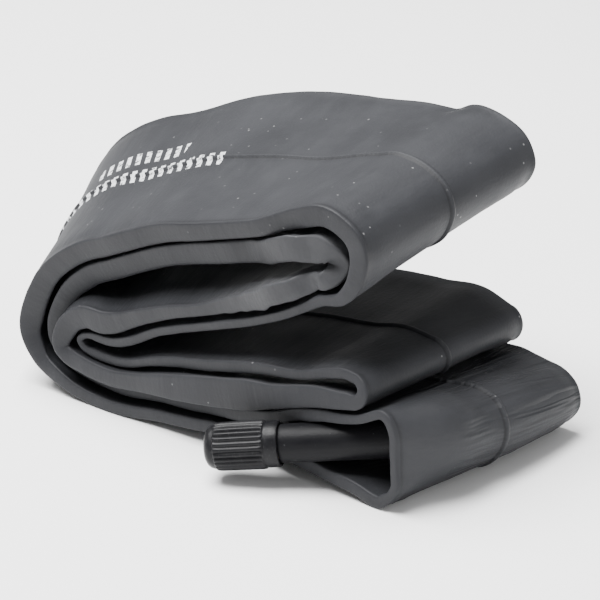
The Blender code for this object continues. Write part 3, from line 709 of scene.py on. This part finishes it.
class Finish:
    """A material and short calls that add nodes to it."""

    def __init__(self, name, roughness, metallic=0.0):
        self.material = bpy.data.materials.new(name)
        self.material.use_nodes = True
        self.tree = self.material.node_tree
        self.shader = self.tree.nodes["Principled BSDF"]
        self.shader.inputs["Roughness"].default_value = roughness
        self.shader.inputs["Metallic"].default_value = metallic
        self.coordinates = self.tree.nodes.new("ShaderNodeTexCoord")

    def put(self, socket, value):
        if isinstance(value, bpy.types.NodeSocket):
            self.tree.links.new(value, socket)
        elif value is not None:
            socket.default_value = value

    def node(self, kind, inputs=(), **settings):
        made = self.tree.nodes.new(kind)
        for key, value in settings.items():
            setattr(made, key, value)
        for key, value in dict(inputs).items():
            self.put(made.inputs[key], value)
        return made

    def math(self, operation, a, b=None):
        made = self.tree.nodes.new("ShaderNodeMath")
        made.operation = operation
        self.put(made.inputs[0], a)
        self.put(made.inputs[1], b)
        return made.outputs[0]

    def ramp(self, value, low, high, to_low=0.0, to_high=1.0):
        made = self.node("ShaderNodeMapRange", {"Value": value, "From Min": low, "From Max": high,
                                                "To Min": to_low, "To Max": to_high})
        return made.outputs["Result"]

    def mix(self, share, a, b):
        made = self.tree.nodes.new("ShaderNodeMix")
        made.data_type = "RGBA"
        self.put(made.inputs["Factor"], share)
        self.put(made.inputs["A"], a)
        self.put(made.inputs["B"], b)
        return made.outputs["Result"]

    def noise(self, vector, scale, detail=3.0, roughness=0.55):
        made = self.node("ShaderNodeTexNoise", {"Vector": vector, "Scale": scale, "Detail": detail,
                                                "Roughness": roughness})
        return made.outputs["Fac"]

    def scaled(self, vector, scale, turn=0.0):
        made = self.node("ShaderNodeMapping", {"Vector": vector, "Scale": scale, "Rotation": (0, 0, turn)})
        return made.outputs["Vector"]

    def value(self, attribute):
        return self.node("ShaderNodeAttribute", attribute_name=attribute).outputs["Fac"]

    def bump(self, height, distance, strength=1.0, under=None):
        made = self.node("ShaderNodeBump", {"Height": height, "Distance": distance, "Strength": strength})
        if under is not None:
            self.put(made.inputs["Normal"], under)
        return made.outputs["Normal"]

    def colour(self, value):
        self.put(self.shader.inputs["Base Color"], value)

    def normal(self, value):
        self.put(self.shader.inputs["Normal"], value)

    def roughness(self, value):
        self.put(self.shader.inputs["Roughness"], value)


def wear(piece, finish):
    piece.data.materials.clear()
    piece.data.materials.append(finish.material)


# %% [markdown]
# ## Tube rubber
# Butyl rubber is charcoal, never quite black, and dusted with talc in the factory. The finish is built
# up in layers: clouds of talc, streaks along the tube, painted shade as dark lines in the fold by the
# near corner and either side of the seam, painted shade on the tip of the near edge, pale specks of
# dust, and white printed bars beside the seam. Fine ribs from the cure run slantwise on the hub side,
# and very faintly outside. The bars stand in for print and say nothing.

# %% Tube rubber
PRINT_ROWS = (                # start and end along the ring, start and end round the section, in mm
    (64.0, 92.0, 5.5, 11.0),
    (48.0, 104.0, -3.0, 2.5),
)
STROKES = 330                 # strokes a metre
STROKE_SLANT = 0.3
STROKE_SHARE = 0.5


def printed(finish, u, v):
    """Mask of the printed bars: slanted strokes in two rows beside the seam."""
    total = None
    for first, last, start, end in PRINT_ROWS:
        row = finish.math("SUBTRACT", v, SEAM_V)
        low, high = -end * MM, -start * MM
        inside = finish.math("MULTIPLY", finish.math("GREATER_THAN", row, low),
                             finish.math("LESS_THAN", row, high))
        span = finish.math("MULTIPLY", finish.math("GREATER_THAN", u, first * MM),
                           finish.math("LESS_THAN", u, last * MM))
        slanted = finish.math("ADD", u, finish.math("MULTIPLY", row, STROKE_SLANT))
        counted = finish.math("FRACT", finish.math("MULTIPLY", slanted, STROKES))
        stroke = finish.math("LESS_THAN", counted, STROKE_SHARE)
        one = finish.math("MULTIPLY", finish.math("MULTIPLY", inside, span), stroke)
        total = one if total is None else finish.math("MAXIMUM", total, one)
    return total


CHARCOAL = ((0.0150, 0.0156, 0.0180, 1), (0.0245, 0.0253, 0.0285, 1))
STREAK_GREY = (0.048, 0.050, 0.054, 1)
TALC_GREY = (0.085, 0.086, 0.09, 1)
SPECK_GREY = (0.25, 0.25, 0.25, 1)
# painted shade: the next two near-blacks darken the fold lines and the tip of the near edge
PAINTED_CREASE_SHADE = (0.006, 0.006, 0.007, 1)
PAINTED_EDGE_SHADE = (0.010, 0.010, 0.012, 1)
INK_WHITE = (0.62, 0.63, 0.64, 1)


def tube_rubber():
    finish = Finish("tube_rubber_talc", 0.58)
    uv = finish.coordinates.outputs["UV"]
    here = finish.coordinates.outputs["Object"]
    split = finish.node("ShaderNodeSeparateXYZ", {"Vector": uv})
    u, v = split.outputs["X"], split.outputs["Y"]
    clouds = finish.ramp(finish.noise(here, 38, 5), 0.35, 0.72)
    streaks = finish.ramp(finish.noise(finish.scaled(uv, (160, 70, 1)), 1, 3), 0.5, 0.95)
    mottle = finish.noise(here, 420, 4)
    powder = finish.math("MULTIPLY", finish.value("talc"), finish.ramp(mottle, -0.4, 0.8))
    rubber = finish.mix(clouds, *CHARCOAL)
    rubber = finish.mix(finish.math("MULTIPLY", streaks, 0.3), rubber, STREAK_GREY)
    rubber = finish.mix(finish.math("MULTIPLY", powder, 0.55), rubber, TALC_GREY)
    specks = finish.node("ShaderNodeTexVoronoi", {"Vector": here, "Scale": 320.0}).outputs["Distance"]
    thin = finish.ramp(finish.noise(here, 60, 2), 0.5, 0.62)
    dust = finish.math("MULTIPLY", finish.math("LESS_THAN", specks, 0.075), thin)
    rubber = finish.mix(finish.math("MULTIPLY", dust, 0.5), rubber, SPECK_GREY)
    # painted shade: near-black lines in the fold by the near corner and either side of the seam's bead
    rubber = finish.mix(finish.math("MULTIPLY", finish.value("painted_line_shade"), 0.8), rubber, PAINTED_CREASE_SHADE)
    # painted shade: the tip of each near edge, where the layers meet, is darkened in the colour
    rubber = finish.mix(finish.math("MULTIPLY", finish.value("edge"), 0.35), rubber, PAINTED_EDGE_SHADE)
    worn = finish.ramp(finish.noise(here, 900, 3), 0.36, 0.5)
    ink = finish.math("MULTIPLY", printed(finish, u, v), worn)
    finish.colour(finish.mix(ink, rubber, INK_WHITE))
    finish.roughness(finish.ramp(clouds, 0, 1, 0.50, 0.66))
    grain = finish.bump(finish.noise(here, 1600, 3), 0.00012, 0.5)
    ribs = finish.node("ShaderNodeTexWave", {"Vector": finish.scaled(uv, (1, 1, 1), 0.32), "Scale": 195.0,
                                             "Distortion": 1.2, "Detail": 1.0, "Detail Scale": 0.4})
    ribbed = finish.math("MULTIPLY", ribs.outputs["Fac"], finish.ramp(finish.value("ribs"), 0, 1, 0.04, 0.6))
    grain = finish.bump(ribbed, 0.00016, 0.8, grain)
    lines = finish.noise(finish.scaled(uv, (520, 26, 1)), 1, 2)
    across = finish.math("MULTIPLY", finish.ramp(lines, 0.42, 0.6), finish.value("cross_ribs"))
    grain = finish.bump(across, 0.0005, 0.9, grain)
    waves = finish.noise(finish.scaled(uv, (210, 40, 1)), 1, 3)
    finish.normal(finish.bump(waves, 0.0007, 0.35, grain))
    finish.shader.inputs["Specular IOR Level"].default_value = 0.2
    return finish


wear(skin, tube_rubber())
print("tube rubber nodes:", len(skin.data.materials[0].node_tree.nodes))

# %% [markdown]
# ## Moulded rubber, plastic, brass and steel
# The stem is satin and slightly marbled by the mould. The cap's plastic is blacker and shinier, with
# fine scratches. Brass has turning marks round the valve's axis: its pattern is read in the axis's own
# directions, by a Mapping node in Texture mode with the seat and the axis's angles.

# %% The small pieces' finishes
AXIS_ANGLES = ON_VALVE.to_euler()


def valve_coordinates(finish):
    made = finish.node("ShaderNodeMapping", {"Vector": finish.coordinates.outputs["Object"],
                                             "Location": tuple(SEAT), "Rotation": tuple(AXIS_ANGLES)},
                       vector_type="TEXTURE")
    return made.outputs["Vector"]


def moulded_rubber(name, dark, light, roughness):
    finish = Finish(name, roughness)
    here = valve_coordinates(finish)
    clouds = finish.noise(finish.scaled(here, (1, 1, 0.35)), 380, 4)
    base = finish.mix(finish.ramp(clouds, 0.3, 0.75), dark, light)
    dots = finish.ramp(finish.noise(here, 1500, 2), 0.70, 0.78)
    finish.colour(finish.mix(finish.math("MULTIPLY", dots, 0.25), base, (0.22, 0.22, 0.23, 1)))
    finish.roughness(finish.ramp(clouds, 0.3, 0.7, roughness - 0.06, roughness + 0.1))
    finish.normal(finish.bump(finish.noise(here, 2200, 3), 0.00008, 0.5))
    finish.shader.inputs["Specular IOR Level"].default_value = 0.1
    return finish


def cap_plastic():
    finish = Finish("cap_plastic_satin", 0.36)
    here = valve_coordinates(finish)
    clouds = finish.noise(here, 520, 4)
    scratches = finish.ramp(finish.noise(finish.scaled(here, (900, 900, 5000)), 1, 2), 0.62, 0.72)
    base = finish.mix(finish.ramp(clouds, 0.35, 0.7), (0.005, 0.005, 0.006, 1), (0.009, 0.009, 0.010, 1))
    finish.colour(finish.mix(finish.math("MULTIPLY", scratches, 0.2), base, (0.12, 0.12, 0.12, 1)))
    finish.roughness(finish.ramp(clouds, 0.3, 0.7, 0.32, 0.46))
    finish.normal(finish.bump(finish.noise(here, 2600, 2), 0.00005, 0.5))
    finish.shader.inputs["Specular IOR Level"].default_value = 0.14
    return finish


def turned_metal(name, dark, light, roughness):
    finish = Finish(name, roughness, 1.0)
    here = valve_coordinates(finish)
    marks = finish.noise(finish.scaled(here, (40, 40, 9000)), 1, 3)
    stain = finish.noise(here, 420, 4)
    base = finish.mix(finish.ramp(stain, 0.35, 0.75), light, dark)
    finish.colour(finish.mix(finish.ramp(marks, 0.4, 0.8, 0.0, 0.35), base, dark))
    finish.roughness(finish.ramp(marks, 0.3, 0.7, roughness - 0.08, roughness + 0.12))
    finish.normal(finish.bump(marks, 0.00003, 0.6))
    return finish


stem_finish = moulded_rubber("moulded_rubber_satin", (0.004, 0.004, 0.005, 1), (0.008, 0.008, 0.009, 1), 0.44)
seal_finish = moulded_rubber("seal_rubber_matte", (0.012, 0.012, 0.012, 1), (0.026, 0.026, 0.026, 1), 0.6)
brass_finish = turned_metal("brass_turned", (0.50, 0.34, 0.14, 1), (0.80, 0.62, 0.31, 1), 0.3)
steel_finish = turned_metal("steel_drawn", (0.36, 0.36, 0.38, 1), (0.66, 0.66, 0.68, 1), 0.28)
plastic_finish = cap_plastic()
MADE = ((stem, stem_finish), (root, stem_finish), (thread, brass_finish), (cap, plastic_finish))
for piece, finish in MADE:
    wear(piece, finish)
CARRIED = {
    "valve_patch": stem_finish, "core_plug": brass_finish, "core_barrel": brass_finish,
    "core_cup": brass_finish, "core_gasket": seal_finish, "core_seal": seal_finish,
    "cap_seal": seal_finish, "core_pin": steel_finish, "core_spring": steel_finish,
}
for name, finish in CARRIED.items():
    wear(nodes[name], finish)
print("finishes on carried pieces:", len(CARRIED))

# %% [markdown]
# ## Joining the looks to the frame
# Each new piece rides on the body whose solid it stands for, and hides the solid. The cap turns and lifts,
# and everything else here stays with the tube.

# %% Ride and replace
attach(skin, "tube")
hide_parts("tube_body")
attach(stem, "tube")
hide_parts("valve_cover")
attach(root, "tube")
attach(thread, "tube")
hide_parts("valve_insert")
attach(cap, "cap")
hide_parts("dust_cap")
print("pieces joined to the frame")

# %% [markdown]
# ## Floor, light and camera
# Black rubber shows its shape only by soft highlights, so a large panel hangs above on the left, a
# weak one fills from the right, and the world adds a dim even light. The floor is pale and plain. The
# camera stands well back with a long lens, looking down a little, which keeps the layers nearly
# parallel.

# %% Stage
TARGET = Vector((0.01589, 0.00682, 0.02486))
BACK = Vector((0.5960, -0.7103, 0.3746))
DISTANCE = 0.62
LENS = 177.1
WORLD_STRENGTH = 0.48
PANELS = (                    # name, place and size in metres, power in watts
    ("overhead_panel", (-0.2, -0.15, 0.9), 0.7, 41.0),
    ("side_fill", (0.8, 0.0, 0.3), 0.5, 1.6),
)


def add_panel(name, place, size, power):
    deselect()
    bpy.ops.object.light_add(type="AREA", location=place)
    lamp = bpy.context.object
    lamp.name = name
    lamp.data.shape = "SQUARE"
    lamp.data.size = size
    lamp.data.energy = power
    lamp.rotation_euler = (TARGET - Vector(place)).to_track_quat("-Z", "Y").to_euler()


def make_stage():
    deselect()
    bpy.ops.mesh.primitive_plane_add(size=6.0, location=(0, 0, 0))
    floor = bpy.context.object
    floor.name = "floor"
    floor.data.transform(Matrix.Translation((0, 0, -0.0001)))
    paper = Finish("pale_floor", 0.9)
    soft = paper.noise(paper.coordinates.outputs["Object"], 3, 2)
    paper.colour(paper.mix(soft, (0.90, 0.90, 0.90, 1), (0.93, 0.93, 0.93, 1)))
    wear(floor, paper)
    world = bpy.data.worlds.new("studio")
    world.use_nodes = True
    world.node_tree.nodes["Background"].inputs["Color"].default_value = (1.0, 1.0, 1.0, 1.0)
    world.node_tree.nodes["Background"].inputs["Strength"].default_value = WORLD_STRENGTH
    bpy.context.scene.world = world


def make_camera():
    view = bpy.data.cameras.new("view")
    view.lens = LENS
    view.sensor_width = 36.0
    camera = bpy.data.objects.new("camera", view)
    bpy.context.scene.collection.objects.link(camera)
    camera.location = TARGET + BACK * DISTANCE
    camera.rotation_euler = (-BACK).to_track_quat("-Z", "Y").to_euler()
    bpy.context.scene.camera = camera


make_stage()
for panel in PANELS:
    add_panel(*panel)
make_camera()
print("camera at", [round(value, 3) for value in bpy.context.scene.camera.location])
